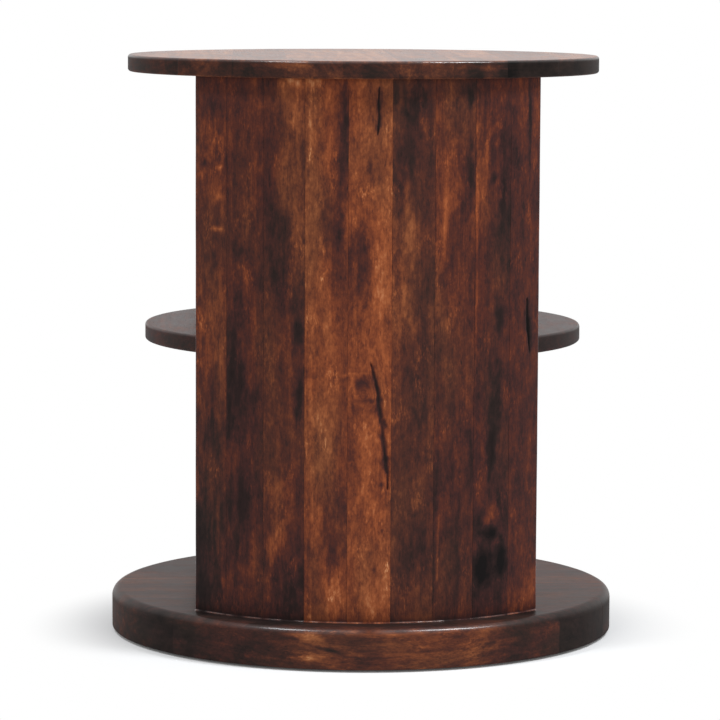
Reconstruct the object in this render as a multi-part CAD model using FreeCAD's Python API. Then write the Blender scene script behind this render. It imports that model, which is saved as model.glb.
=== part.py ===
import FreeCAD, Part
import math
import os

# Round side table: a heavy round base, two curved side panels that face each other, a round shelf
# between them and a round top. The two ends between the panels are open.
# Every disc is glued up from straight boards, and every panel from bevelled staves, as separate solids.
# Millimetres and degrees. +Z is up, the origin is on the floor under the middle of the table, panel A
# faces -Y, panel B faces +Y, and the open ends face -X and +X.

# Side panels: two coopered arcs on one circle round the table's axis
PANEL_OUTER_RADIUS = 200.0
PANEL_WALL = 18.0
PANEL_ARC = 96.0
PANEL_END_EASE = 1.5
STAVES = 9

# Base disc: its boards run along X
BASE_STEP = 25.0
BASE_THICKNESS = 36.0
BASE_TOP_EASE = 8.0
BASE_FOOT_EASE = 2.0
BASE_BOARDS = 6

# Top disc: its boards run along Y, from panel to panel
TOP_OVERHANG = 10.0
TOP_THICKNESS = 15.0
TOP_EASE = 2.5
TOP_BOARDS = 9

# Shelf disc: its boards run along Y, and it is notched round the panels and shows at the open ends
SHELF_LIP = 13.0
SHELF_THICKNESS = 15.0
SHELF_EASE = 2.5
SHELF_BOARDS = 7
SHELF_FIT = 0.2

# Clear heights below and above the shelf
LOWER_BAY = 224.0
UPPER_BAY = 224.0

# Felt pads stuck under the base
PADS = 6
PAD_DIAMETER = 30.0
PAD_THICKNESS = 2.0
PAD_EASE = 0.5
PAD_INSET = 25.0

# Wooden dowels, the same stock in all three glued joints
DOWEL_DIAMETER = 8.0
DOWEL_LENGTH = 30.0
DOWEL_CHAMFER = 1.0
DOWEL_CLEARANCE = 0.1
DOWEL_DEPTH_IN_TOP = 9.0
DOWEL_DEPTH_IN_BASE = 14.0
DOWEL_DEPTH_IN_STAVE = 10.0

# Steel screws that come up through the base into the panels
SCREW_LENGTH = 65.0
SCREW_DIAMETER = 4.5
SCREW_TIP = 7.0
SCREW_HEAD_DIAMETER = 9.0
SCREW_HEAD_HEIGHT = 3.2
SCREW_HEAD_EASE = 1.0
SCREW_SLOT_WIDTH = 1.4
SCREW_SLOT_LENGTH = 6.0
SCREW_SLOT_DEPTH = 1.6
SCREW_CLEARANCE = 0.3
SCREW_PILOT_CLEARANCE = 0.05
COUNTERBORE_DIAMETER = 13.0
COUNTERBORE_DEPTH = 12.0

# How far a cutting tool runs past the face that it opens
OVERCUT = 1.0

# Sizes that follow from the ones above
panel_inner_radius = PANEL_OUTER_RADIUS - PANEL_WALL
panel_middle_radius = PANEL_OUTER_RADIUS - PANEL_WALL / 2
stave_angle = PANEL_ARC / STAVES
base_radius = PANEL_OUTER_RADIUS + BASE_STEP
top_radius = PANEL_OUTER_RADIUS + TOP_OVERHANG
shelf_radius = panel_inner_radius + SHELF_LIP
base_bottom = PAD_THICKNESS
base_top = base_bottom + BASE_THICKNESS
shelf_bottom = base_top + LOWER_BAY
shelf_top = shelf_bottom + SHELF_THICKNESS
top_bottom = shelf_top + UPPER_BAY
table_height = top_bottom + TOP_THICKNESS

UP = FreeCAD.Vector(0, 0, 1)
AXIS_POINT = FreeCAD.Vector(0, 0, 0)

# The direction that each panel faces, as an angle from +X
PANEL_FACING = {"a": -90.0, "b": 90.0}


def polar(radius, angle, height=0.0):
    """A point at a radius from the table's axis, at an angle from +X."""
    turn = math.radians(angle)
    return FreeCAD.Vector(radius * math.cos(turn), radius * math.sin(turn), height)


def line(start, end):
    return Part.LineSegment(start, end).toShape()


def arc(start, middle, end):
    return Part.Arc(start, middle, end).toShape()


def face_of(edges):
    return Part.Face(Part.Wire(edges))


def turned(outline):
    """A solid of revolution about Z, from (radius, height) corners that start and end on the axis."""
    points = [FreeCAD.Vector(radius, 0, height) for radius, height in outline]
    edges = [line(start, end) for start, end in zip(points, points[1:] + points[:1])]
    return face_of(edges).revolve(AXIS_POINT, UP, 360)


def eased_disc(radius, bottom, thickness, top_ease, bottom_ease):
    """A disc on the Z axis whose rim has a quarter round at its top and at its bottom."""
    most_ease = 0.45 * thickness
    above = min(top_ease, most_ease)
    below = min(bottom_ease, most_ease)
    top = bottom + thickness
    bend = math.sqrt(0.5)

    def point(inset, height):
        return FreeCAD.Vector(radius - inset, 0, height)

    foot = point(below, bottom)
    low = point(0, bottom + below)
    high = point(0, top - above)
    crown = point(above, top)
    axis_low = FreeCAD.Vector(0, 0, bottom)
    axis_high = FreeCAD.Vector(0, 0, top)
    low_bend = point(below * (1 - bend), bottom + below * (1 - bend))
    high_bend = point(above * (1 - bend), top - above * (1 - bend))
    profile = face_of([
        line(axis_low, foot),
        arc(foot, low_bend, low),
        line(low, high),
        arc(high, high_bend, crown),
        line(crown, axis_high),
        line(axis_high, axis_low),
    ])
    return profile.revolve(AXIS_POINT, UP, 360)


def cylinder(radius, length, start, direction):
    return Part.makeCylinder(radius, length, start, direction)


def ring_sector(inner, outer, first_angle, last_angle, bottom, height):
    """A block of a round wall between two angles, with radial end faces."""
    middle = (first_angle + last_angle) / 2
    outline = face_of([
        arc(polar(outer, first_angle, bottom), polar(outer, middle, bottom), polar(outer, last_angle, bottom)),
        line(polar(outer, last_angle, bottom), polar(inner, last_angle, bottom)),
        arc(polar(inner, last_angle, bottom), polar(inner, middle, bottom), polar(inner, first_angle, bottom)),
        line(polar(inner, first_angle, bottom), polar(outer, first_angle, bottom)),
    ])
    return outline.extrude(UP * height)


def boards_of(disc, radius, count, along_x):
    """Slices a disc into boards of equal width, which run along X or along Y."""
    width = 2 * radius / count
    reach = radius + OVERCUT
    bottom = disc.BoundBox.ZMin - OVERCUT
    height = disc.BoundBox.ZLength + 2 * OVERCUT
    boards = []
    for index in range(count):
        start = -reach if index == 0 else -radius + index * width
        end = reach if index == count - 1 else -radius + (index + 1) * width
        if along_x:
            slab = Part.makeBox(2 * reach, end - start, height, FreeCAD.Vector(-reach, start, bottom))
        else:
            slab = Part.makeBox(end - start, 2 * reach, height, FreeCAD.Vector(start, -reach, bottom))
        boards.append(disc.common(slab))
    return boards


def bored(solid, tools):
    """The solid with every hole cut that reaches it."""
    reaching = [tool for tool in tools if solid.BoundBox.intersect(tool.BoundBox)]
    return solid.cut(reaching) if reaching else solid


def stave_middle(facing, index):
    """The angle of a stave's middle line. Stave 1 is the left one, seen from outside the panel."""
    return facing + (index - (STAVES + 1) / 2) * stave_angle


def screwed_staves():
    """The odd staves apart from the two at the ends: they take the screws and the shelf's dowels."""
    return [index for index in range(3, STAVES, 2)]


def dowelled_staves():
    """The even staves, which take the upright dowels of the base and the top."""
    return [index for index in range(2, STAVES + 1, 2)]


def places_on_panels(indices):
    """Each panel's facing direction with the middle angle of each listed stave."""
    return [
        (facing, stave_middle(facing, index))
        for facing in PANEL_FACING.values()
        for index in indices
    ]


def dowel(start, direction, clearance=0.0):
    """A dowel with chamfered ends, or, with a clearance, the plain hole that it goes into."""
    radius = DOWEL_DIAMETER / 2 + clearance
    if clearance:
        return cylinder(radius, DOWEL_LENGTH + 2 * clearance, start - direction * clearance, direction)
    neck = radius - DOWEL_CHAMFER
    shape = turned([
        (0, 0),
        (neck, 0),
        (radius, DOWEL_CHAMFER),
        (radius, DOWEL_LENGTH - DOWEL_CHAMFER),
        (neck, DOWEL_LENGTH),
        (0, DOWEL_LENGTH),
    ])
    shape.Placement = FreeCAD.Placement(start, FreeCAD.Rotation(UP, direction))
    return shape


def base_dowel_seats():
    start = base_top - DOWEL_DEPTH_IN_BASE
    return [(polar(panel_middle_radius, angle, start), UP) for _, angle in places_on_panels(dowelled_staves())]


def top_dowel_seats():
    start = top_bottom + DOWEL_DEPTH_IN_TOP - DOWEL_LENGTH
    return [(polar(panel_middle_radius, angle, start), UP) for _, angle in places_on_panels(dowelled_staves())]


def shelf_dowel_seats():
    """Level dowels, all along Y, so that each panel can be pushed straight on to the shelf's edge."""
    height = shelf_bottom + SHELF_THICKNESS / 2
    seats = []
    for facing, angle in places_on_panels(screwed_staves()):
        across = polar(panel_middle_radius, angle).x
        outward = FreeCAD.Vector(0, math.copysign(1.0, facing), 0)
        inner_face = math.sqrt(panel_inner_radius ** 2 - across ** 2)
        start = inner_face + DOWEL_DEPTH_IN_STAVE - DOWEL_LENGTH
        seats.append((FreeCAD.Vector(across, outward.y * start, height), outward))
    return seats


def screw_seats():
    """Where each screw's head bears on the floor of its counterbore."""
    height = base_bottom + COUNTERBORE_DEPTH
    return [polar(panel_middle_radius, angle, height) for _, angle in places_on_panels(screwed_staves())]


def screw_shank(clearance=0.0):
    """The pointed shank above the head, or the pilot hole for it. Its foot is at the origin."""
    radius = SCREW_DIAMETER / 2 + clearance
    return turned([(0, 0), (radius, 0), (radius, SCREW_LENGTH - SCREW_TIP), (0, SCREW_LENGTH + clearance)])


def screw():
    """A pan-head screw that points up, with a crossed recess in the head's lower face."""
    radius = SCREW_HEAD_DIAMETER / 2
    head = turned([
        (0, -SCREW_HEAD_HEIGHT),
        (radius - SCREW_HEAD_EASE, -SCREW_HEAD_HEIGHT),
        (radius, -SCREW_HEAD_HEIGHT + SCREW_HEAD_EASE),
        (radius, 0),
        (0, 0),
    ])
    floor = -SCREW_HEAD_HEIGHT - OVERCUT
    depth = SCREW_SLOT_DEPTH + OVERCUT
    half_length = SCREW_SLOT_LENGTH / 2
    half_width = SCREW_SLOT_WIDTH / 2
    slot = Part.makeBox(SCREW_SLOT_LENGTH, SCREW_SLOT_WIDTH, depth, FreeCAD.Vector(-half_length, -half_width, floor))
    cross = Part.makeBox(SCREW_SLOT_WIDTH, SCREW_SLOT_LENGTH, depth, FreeCAD.Vector(-half_width, -half_length, floor))
    return head.cut([slot, cross]).fuse(screw_shank()).removeSplitter()


def moved(shape, place):
    copy = shape.copy()
    copy.translate(place)
    return copy


def dowel_holes(seats):
    return [dowel(start, direction, DOWEL_CLEARANCE) for start, direction in seats]


def make_base_boards():
    disc = eased_disc(base_radius, base_bottom, BASE_THICKNESS, BASE_TOP_EASE, BASE_FOOT_EASE)
    holes = dowel_holes(base_dowel_seats())
    for seat in screw_seats():
        mouth = FreeCAD.Vector(seat.x, seat.y, base_bottom - OVERCUT)
        bore_length = BASE_THICKNESS + 2 * OVERCUT
        holes.append(cylinder(COUNTERBORE_DIAMETER / 2, COUNTERBORE_DEPTH + OVERCUT, mouth, UP))
        holes.append(cylinder(SCREW_DIAMETER / 2 + SCREW_CLEARANCE, bore_length, mouth, UP))
    return [bored(board, holes) for board in boards_of(disc, base_radius, BASE_BOARDS, along_x=True)]


def make_top_boards():
    disc = eased_disc(top_radius, top_bottom, TOP_THICKNESS, TOP_EASE, TOP_EASE)
    holes = dowel_holes(top_dowel_seats())
    return [bored(board, holes) for board in boards_of(disc, top_radius, TOP_BOARDS, along_x=False)]


def make_shelf_boards():
    """The shelf's rim steps in to the panels' inner faces, and its shoulders meet their end faces."""
    disc = eased_disc(shelf_radius, shelf_bottom, SHELF_THICKNESS, SHELF_EASE, SHELF_EASE)
    seat_radius = panel_inner_radius - SHELF_FIT
    half_arc = PANEL_ARC / 2 + math.degrees(SHELF_FIT / panel_inner_radius)
    notch_bottom = shelf_bottom - OVERCUT
    notch_height = SHELF_THICKNESS + 2 * OVERCUT
    notches = [
        ring_sector(seat_radius, shelf_radius + OVERCUT, facing - half_arc, facing + half_arc,
                    notch_bottom, notch_height)
        for facing in PANEL_FACING.values()
    ]
    holes = dowel_holes(shelf_dowel_seats())
    shelf = disc.cut(notches)
    return [bored(board, holes) for board in boards_of(shelf, shelf_radius, SHELF_BOARDS, along_x=False)]


def eased_end(stave, angle):
    """Rounds the two upright corners of a panel's free end, which lies at the given angle."""
    ease = min(PANEL_END_EASE, 0.4 * PANEL_WALL)
    corners = [polar(PANEL_OUTER_RADIUS, angle), polar(panel_inner_radius, angle)]

    def is_end_corner(edge):
        first, last = edge.Vertexes[0].Point, edge.Vertexes[-1].Point
        upright = math.hypot(first.x - last.x, first.y - last.y) < 1e-6
        return upright and any(math.hypot(first.x - c.x, first.y - c.y) < 1e-6 for c in corners)

    return stave.makeFillet(ease, [edge for edge in stave.Edges if is_end_corner(edge)])


def make_staves(facing):
    height = top_bottom - base_top
    pilots = [moved(screw_shank(SCREW_PILOT_CLEARANCE), seat) for seat in screw_seats()]
    seats = base_dowel_seats() + top_dowel_seats() + shelf_dowel_seats()
    holes = dowel_holes(seats) + pilots
    staves = []
    for index in range(1, STAVES + 1):
        middle = stave_middle(facing, index)
        first_angle = middle - stave_angle / 2
        last_angle = middle + stave_angle / 2
        stave = ring_sector(panel_inner_radius, PANEL_OUTER_RADIUS, first_angle, last_angle, base_top, height)
        if index == 1:
            stave = eased_end(stave, first_angle)
        if index == STAVES:
            stave = eased_end(stave, last_angle)
        staves.append(bored(stave, holes))
    return staves


def make_pads():
    ring_radius = base_radius - PAD_INSET
    radius = PAD_DIAMETER / 2
    pad = turned([
        (0, 0),
        (radius - PAD_EASE, 0),
        (radius, PAD_EASE),
        (radius, PAD_THICKNESS),
        (0, PAD_THICKNESS),
    ])
    return [moved(pad, polar(ring_radius, index * 360.0 / PADS)) for index in range(PADS)]


def numbered(stem, solids):
    return {f"{stem}_{number}": solid for number, solid in enumerate(solids, start=1)}


def main():
    nodes = {}
    nodes.update(numbered("base_board", make_base_boards()))
    nodes.update(numbered("shelf_board", make_shelf_boards()))
    nodes.update(numbered("top_board", make_top_boards()))
    for panel, facing in PANEL_FACING.items():
        nodes.update(numbered(f"panel_{panel}_stave", make_staves(facing)))
    nodes["base_dowels"] = Part.makeCompound([dowel(*seat) for seat in base_dowel_seats()])
    nodes["shelf_dowels"] = Part.makeCompound([dowel(*seat) for seat in shelf_dowel_seats()])
    nodes["top_dowels"] = Part.makeCompound([dowel(*seat) for seat in top_dowel_seats()])
    nodes["base_screws"] = Part.makeCompound([moved(screw(), seat) for seat in screw_seats()])
    nodes["floor_pads"] = Part.makeCompound(make_pads())

    os.makedirs("parts", exist_ok=True)
    for name, shape in nodes.items():
        solids = shape.Solids
        kept = solids[0] if len(solids) == 1 else Part.makeCompound(solids)
        kept.exportStep(f"parts/{name}.step")
    print(f"{len(nodes)} nodes, {2 * base_radius:.0f} mm across, {table_height:.0f} mm high")


main()
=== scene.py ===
import math
from dataclasses import dataclass

import bmesh
import bpy
import numpy as np
from mathutils import Matrix, Vector


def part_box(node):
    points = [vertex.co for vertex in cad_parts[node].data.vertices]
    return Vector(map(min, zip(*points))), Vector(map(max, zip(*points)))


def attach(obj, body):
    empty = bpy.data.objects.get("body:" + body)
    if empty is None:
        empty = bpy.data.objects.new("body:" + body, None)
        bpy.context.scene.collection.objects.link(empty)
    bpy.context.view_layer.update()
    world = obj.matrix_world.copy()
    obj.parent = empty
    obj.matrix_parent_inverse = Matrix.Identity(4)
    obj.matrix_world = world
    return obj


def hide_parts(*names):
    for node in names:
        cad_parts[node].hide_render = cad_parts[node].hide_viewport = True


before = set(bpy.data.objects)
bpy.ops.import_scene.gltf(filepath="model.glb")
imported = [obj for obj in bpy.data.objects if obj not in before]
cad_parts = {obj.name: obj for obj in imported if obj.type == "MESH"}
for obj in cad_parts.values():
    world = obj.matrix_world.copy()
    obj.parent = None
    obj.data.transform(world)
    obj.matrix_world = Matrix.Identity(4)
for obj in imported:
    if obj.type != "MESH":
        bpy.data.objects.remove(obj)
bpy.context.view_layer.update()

# Round side table in dark chestnut-stained wood. Metres and radians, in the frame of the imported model:
# +Z up, the origin on the floor under the table's axis, panel A towards -Y.

# Side panels, coopered from staves
STAVES = 9
PANEL_ARC = math.radians(96)
STAVE_ARC = PANEL_ARC / STAVES
PANEL_OUTER = -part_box("panel_a_stave_5")[0].y
PANEL_INNER = -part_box("panel_a_stave_5")[1].y / math.cos(STAVE_ARC / 2)
STAVE_WIDTH = PANEL_OUTER * STAVE_ARC
STAVE_FOOT, STAVE_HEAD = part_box("panel_a_stave_5")[0].z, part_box("panel_a_stave_5")[1].z
STAVE_HEIGHT = STAVE_HEAD - STAVE_FOOT
PANEL_FACING = {"a": -math.pi / 2, "b": math.pi / 2}
PANEL_END_EASE = 0.0015
JOINT_ARRIS = 0.0002
LACQUER_BEAD = 0.0012
SANDING_DEPTH = 0.00008

# The shelf is let in between the panels with a hair of clearance
SHELF_FIT = 0.0002
SHELF_SEAT_EASE = 0.0003

# Screws come up through the base into the panels, with their heads sunk in counterbores
SCREW_RING = 0.191
SCREW_STAVES = (3, 5, 7)
COUNTERBORE_RADIUS = 0.0065
COUNTERBORE_DEPTH = 0.012

# The photograph's camera, in metres, degrees and pixels of its 720 pixel frame
PHOTO_WIDTH = 720
CAMERA_FOCAL = 3659.2
CAMERA_DISTANCE = 3.2747
CAMERA_HEIGHT = 0.6018
CAMERA_SIDE = -0.0019
CAMERA_PITCH = 6.272
CAMERA_ROLL = 0.271
CAMERA_AZIMUTH = -1.81

# Softboxes: place, aim, width and height, watts, and colour
TABLE_MIDDLE = (0, 0, 0.25)
NEUTRAL, COOL = (1.0, 1.0, 1.0), (0.94, 0.97, 1.0)
LAMPS = {
    "key_left": ((-1.5, -3.2, 1.7), TABLE_MIDDLE, (1.4, 1.4), 16.5, NEUTRAL),
    "key_right": ((1.7, -3.0, 1.6), TABLE_MIDDLE, (1.4, 1.4), 10, NEUTRAL),
    "overhead_left": ((-1.0, -0.75, 2.2), (-1.0, -0.75, 0.0), (0.50, 0.26), 21.5, COOL),
    "overhead_right": ((1.3, -0.70, 2.2), (1.3, -0.70, 0.0), (1.1, 0.24), 45, COOL),
}
FILL_LIGHT = 0.34

# The floor shows the table's shadow up to the first distance from its axis, and plain white past the second
FLOOR_HALF = 20.0
SHADOW_REACH = (0.20, 0.31)

# Mean distance between growth rings, and how far the dark of a glue seam reaches to each side
RING_PITCH = 0.005
SEAM_REACH = 0.0006

# Strength of each wood's figure, and its finish
STAVE_GRAIN = {"rings": 0.16, "streaks": 0.16, "mottle": 0.46, "flecks": 0.24}
BOARD_GRAIN = {"rings": 0.24, "streaks": 0.28, "mottle": 0.30, "flecks": 0.20}
WOODS = {
    "panel": STAVE_GRAIN | {"dullness": 0.38, "lacquer": 0.0, "shine": 0.042, "relief": 0.25},
    "base": BOARD_GRAIN | {"dullness": 0.38, "lacquer": 0.0, "shine": 0.045, "relief": 0.12},
    "shelf": BOARD_GRAIN | {"dullness": 0.38, "lacquer": 0.0, "shine": 0.08, "relief": 0.08},
    "top": BOARD_GRAIN | {"dullness": 0.30, "lacquer": 0.30, "shine": 0.03, "relief": 0.04},
}

# Stain colours from the darkest tone, 0, to the lightest, 1, in the redder and the browner wood
RED_STAIN = (
    (0.0, "161313"), (0.2, "2c1f1e"), (0.3, "3e2523"), (0.4, "512b23"), (0.55, "733b26"), (0.7, "944f2e"),
    (0.85, "b26e48"), (1.0, "ce956e"),
)
BROWN_STAIN = (
    (0.0, "151312"), (0.2, "2b221f"), (0.3, "3c2722"), (0.4, "4f2f25"), (0.55, "6f412b"), (0.7, "8e5737"),
    (0.85, "ab774f"), (1.0, "c89d74"),
)

# Tone of each stave of panel A before its figure, and how far its stain leans to the browner side
STAVE_TONES = (0.39, 0.35, 0.39, 0.49, 0.56, 0.41, 0.39, 0.34, 0.34)
STAVE_BROWNNESS = (0.1, 0.1, 0.1, 0.1, 0.1, 0.4, 0.1, -0.1, -0.5)

# Figure of panel A, stave by stave from the left. Each mark is a soft patch: its middle across the grain and
# along it (0 to 1), its half width and half length, how far it leans sideways per length, and how much
# lighter (+) or darker (-) it makes the wood.
STAVE_FIGURE = {
    1: (
        (0.60, 0.90, 0.32, 0.035, 0.0, 0.14),
        (0.55, 0.80, 0.35, 0.060, 0.0, 0.08),
        (0.20, 0.820, 0.13, 0.010, 0.0, 0.20),
        (0.80, 0.832, 0.08, 0.004, 0.0, 0.30),
        (0.74, 0.780, 0.16, 0.007, 0.0, 0.22),
        (0.86, 0.755, 0.05, 0.012, 0.0, 0.16),
        (0.72, 0.720, 0.14, 0.004, 0.0, 0.30),
        (0.30, 0.840, 0.18, 0.006, 0.0, -0.18),
        (0.45, 0.97, 0.60, 0.050, 0.0, -0.08),
        (0.45, 0.55, 0.45, 0.080, 0.0, 0.15),
        (0.40, 0.35, 0.45, 0.050, 0.0, -0.14),
        (0.40, 0.10, 0.70, 0.160, 0.0, -0.24),
    ),
    2: (
        (0.50, 0.82, 0.60, 0.120, 0.0, 0.04),
        (0.20, 0.49, 0.22, 0.100, 0.0, -0.16),
        (0.40, 0.39, 0.50, 0.080, 0.0, -0.10),
        (0.55, 0.64, 0.08, 0.020, -0.8, 0.14),
        (0.40, 0.68, 0.12, 0.012, 0.0, -0.14),
        (0.45, 0.22, 0.60, 0.050, 0.0, -0.08),
        (0.80, 0.145, 0.15, 0.040, 0.0, 0.14),
        (0.45, 0.12, 0.60, 0.100, 0.0, -0.08),
        (0.35, 0.07, 0.35, 0.045, 0.0, 0.10),
    ),
    3: (
        (0.15, 0.90, 0.22, 0.100, 0.0, -0.10),
        (0.70, 0.95, 0.30, 0.065, 0.0, 0.20),
        (0.72, 0.993, 0.30, 0.010, 0.0, 0.26),
        (0.75, 0.83, 0.30, 0.060, 0.0, 0.10),
        (0.40, 0.67, 0.32, 0.110, -1.6, -0.17),
        (0.86, 0.72, 0.14, 0.080, 0.0, 0.12),
        (0.85, 0.54, 0.15, 0.030, 0.0, -0.18),
        (0.88, 0.42, 0.12, 0.040, 0.0, -0.22),
        (0.50, 0.25, 0.40, 0.020, 0.0, 0.10),
        (0.60, 0.05, 0.70, 0.080, 0.0, -0.20),
        (0.32, 0.145, 0.22, 0.035, 0.0, 0.22),
    ),
    4: (
        (0.12, 0.91, 0.04, 0.075, 0.0, 0.18),
        (0.12, 0.992, 0.20, 0.011, 0.0, 0.28),
        (0.45, 0.92, 0.25, 0.080, 0.0, 0.08),
        (0.90, 0.90, 0.14, 0.100, 0.0, -0.24),
        (0.68, 0.745, 0.25, 0.070, 0.4, -0.16),
        (0.20, 0.75, 0.18, 0.080, 0.0, 0.08),
        (0.35, 0.50, 0.50, 0.150, 0.0, 0.10),
        (0.98, 0.458, 0.16, 0.003, 0.0, 0.14),
        (0.03, 0.60, 0.02, 0.160, 0.0, 0.08),
        (0.20, 0.28, 0.20, 0.120, 0.0, 0.10),
        (0.68, 0.17, 0.25, 0.070, 0.0, -0.13),
        (0.85, 0.05, 0.25, 0.040, 0.0, 0.18),
    ),
    5: (
        (0.55, 0.84, 0.12, 0.022, 0.0, -0.14),
        (0.20, 0.66, 0.20, 0.060, 0.0, -0.22),
        (0.70, 0.60, 0.25, 0.120, 0.0, 0.12),
        (0.18, 0.462, 0.26, 0.003, 0.0, 0.16),
        (0.44, 0.449, 0.20, 0.011, 0.0, -0.16),
        (0.12, 0.440, 0.06, 0.012, 0.0, 0.16),
        (0.53, 0.412, 0.07, 0.004, 0.0, -0.26),
        (0.55, 0.392, 0.10, 0.014, 0.0, -0.14),
        (0.05, 0.330, 0.12, 0.060, 0.0, -0.16),
        (0.30, 0.440, 0.22, 0.010, 0.0, -0.12),
        (0.12, 0.400, 0.03, 0.040, 0.0, -0.10),
        (0.40, 0.405, 0.06, 0.020, 0.0, -0.10),
        (0.35, 0.30, 0.25, 0.050, 0.0, 0.08),
        (0.83, 0.302, 0.08, 0.012, 0.0, -0.16),
        (0.78, 0.258, 0.05, 0.005, 0.0, -0.30),
        (0.67, 0.955, 0.10, 0.040, 0.0, -0.12),
        (0.64, 0.910, 0.07, 0.012, 0.0, -0.22),
        (0.81, 0.172, 0.03, 0.004, 0.0, -0.30),
        (0.62, 0.10, 0.04, 0.005, 0.0, -0.22),
        (0.60, 0.04, 0.35, 0.040, 0.0, 0.14),
    ),
    6: (
        (0.36, 0.890, 0.45, 0.120, 0.0, -0.20),
        (0.35, 0.74, 0.32, 0.060, 0.5, 0.10),
        (0.85, 0.77, 0.16, 0.110, 0.0, -0.12),
        (0.20, 0.575, 0.22, 0.110, 0.0, 0.20),
        (0.75, 0.60, 0.22, 0.080, 0.0, -0.10),
        (0.55, 0.42, 0.50, 0.090, 0.0, -0.08),
        (0.20, 0.29, 0.20, 0.060, 0.0, -0.10),
        (0.55, 0.22, 0.10, 0.012, 1.5, 0.14),
        (0.50, 0.13, 0.60, 0.055, 0.0, -0.14),
    ),
    7: (
        (0.25, 0.80, 0.24, 0.200, 0.3, 0.10),
        (0.24, 0.73, 0.05, 0.060, 0.3, 0.12),
        (0.05, 0.68, 0.03, 0.140, 0.0, 0.10),
        (0.85, 0.975, 0.20, 0.020, 0.0, -0.20),
        (0.80, 0.82, 0.24, 0.060, 0.0, -0.20),
        (0.50, 0.55, 0.45, 0.080, 0.0, 0.04),
        (0.50, 0.25, 0.70, 0.200, 0.0, -0.08),
        (0.10, 0.15, 0.03, 0.060, 0.0, 0.22),
        (0.95, 0.30, 0.06, 0.050, 0.0, -0.14),
    ),
    8: (
        (0.30, 0.87, 0.28, 0.130, 0.0, 0.14),
        (0.05, 0.72, 0.03, 0.220, 0.0, 0.14),
        (0.30, 0.91, 0.03, 0.070, 0.0, 0.12),
        (0.80, 0.77, 0.24, 0.120, 0.0, -0.13),
        (0.75, 0.57, 0.15, 0.030, 0.0, -0.18),
        (0.55, 0.40, 0.20, 0.070, 0.0, -0.18),
        (0.50, 0.29, 0.12, 0.050, 0.0, -0.24),
        (0.50, 0.10, 0.80, 0.100, 0.0, -0.08),
        (0.45, 0.110, 0.60, 0.050, 0.0, -0.06),
        (0.50, 0.187, 0.36, 0.018, 0.0, 0.14),
        (0.68, 0.141, 0.14, 0.008, 0.8, 0.16),
        (0.10, 0.134, 0.10, 0.020, 0.0, 0.14),
        (0.04, 0.177, 0.14, 0.018, 0.0, -0.12),
        (0.82, 0.205, 0.16, 0.030, 0.0, -0.16),
    ),
    9: (
        (0.62, 0.92, 0.05, 0.080, 0.0, -0.22),
        (0.86, 0.92, 0.14, 0.080, 0.0, 0.10),
        (0.20, 0.85, 0.16, 0.040, 0.0, -0.12),
        (0.60, 0.54, 0.10, 0.050, 0.0, -0.26),
        (0.50, 0.03, 0.60, 0.030, 0.0, 0.14),
    ),
}

# Knots: middle across and along the stave (0 to 1), half width and half height in metres, and darkness
STAVE_KNOTS = {
    5: ((0.28, 0.425, 0.0090, 0.0100, 0.04),),
    8: (
        (0.50, 0.157, 0.0085, 0.0072, 0.34),
        (0.26, 0.088, 0.0076, 0.0135, 0.34),
        (0.80, 0.108, 0.0054, 0.0140, 0.30),
    ),
}

# Open cracks: points across and along the stave (0 to 1), then half width and depth in metres
STAVE_CRACKS = {
    5: (
        (((0.52, 0.482), (0.65, 0.447), (0.71, 0.410), (0.80, 0.361), (0.845, 0.322), (0.92, 0.278),
          (0.93, 0.250)), 0.0022, 0.0016),
        (((0.69, 0.985), (0.67, 0.955), (0.69, 0.930), (0.66, 0.900)), 0.0013, 0.0012),
    ),
    9: (
        (((0.56, 0.590), (0.58, 0.545), (0.66, 0.490)), 0.0014, 0.0012),
    ),
}

# Figure of the front edges of base and top: marks of the same kind, across the edge from its foot up and
# along it from the left
BASE_EDGE_FIGURE = (
    (0.50, 0.54, 2.00, 0.190, 0.0, 0.15),
    (0.72, 0.385, 0.14, 0.045, -3.6, 0.30),
    (0.52, 0.410, 0.05, 0.045, -3.6, -0.28),
    (0.32, 0.405, 0.16, 0.035, -3.0, 0.18),
    (0.84, 0.620, 0.10, 0.100, 0.0, 0.09),
    (0.55, 0.700, 0.25, 0.030, -2.0, 0.12),
    (0.30, 0.560, 0.20, 0.060, 2.0, 0.06),
    (0.60, 0.790, 0.50, 0.045, 0.0, -0.09),
    (0.74, 0.855, 0.16, 0.025, 0.0, 0.12),
    (0.65, 0.115, 0.45, 0.035, 0.0, -0.12),
    (0.50, 0.030, 1.00, 0.030, 0.0, 0.08),
    (0.50, 0.950, 1.00, 0.060, 0.0, -0.07),
    (0.98, 0.680, 0.12, 0.120, 0.0, -0.12),
)
TOP_EDGE_FIGURE = (
    (0.80, 0.347, 0.22, 0.035, 0.0, 0.20),
    (0.45, 0.577, 0.35, 0.030, -2.5, 0.12),
    (0.75, 0.640, 0.25, 0.030, 0.0, 0.10),
    (0.60, 0.715, 0.35, 0.035, -2.0, 0.12),
    (0.30, 0.245, 0.70, 0.040, 0.0, -0.08),
    (0.40, 0.500, 0.60, 0.020, 0.0, -0.08),
    (0.50, 0.780, 2.00, 0.022, 0.0, -0.16),
)

# Painted shade in the corner at the panels' feet, drawn into the wood's tone. On the base: how far out it is
# strongest, how wide, how dark, and how gradually it ends beside the panels; on the staves: how dark and how
# high
CORNER_SHADE_OFFSET = 0.004
CORNER_SHADE_WIDTH = 0.014
CORNER_SHADE = 0.20
CORNER_SHADE_FADE = 0.05
FOOT_SHADE = 0.12
FOOT_SHADE_HEIGHT = 0.003

# How much darker an open crack is, how much lighter the lacquer bead is drawn as a painted highlight, how
# strong the random figure of the boards, and the tone of the raw wood in the counterbores
CRACK_DARKNESS = 0.34
BEAD_PAINTED_HIGHLIGHT = 0.2
BOARD_FIGURE = 0.6
RAW_TONE = 0.5

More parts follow.
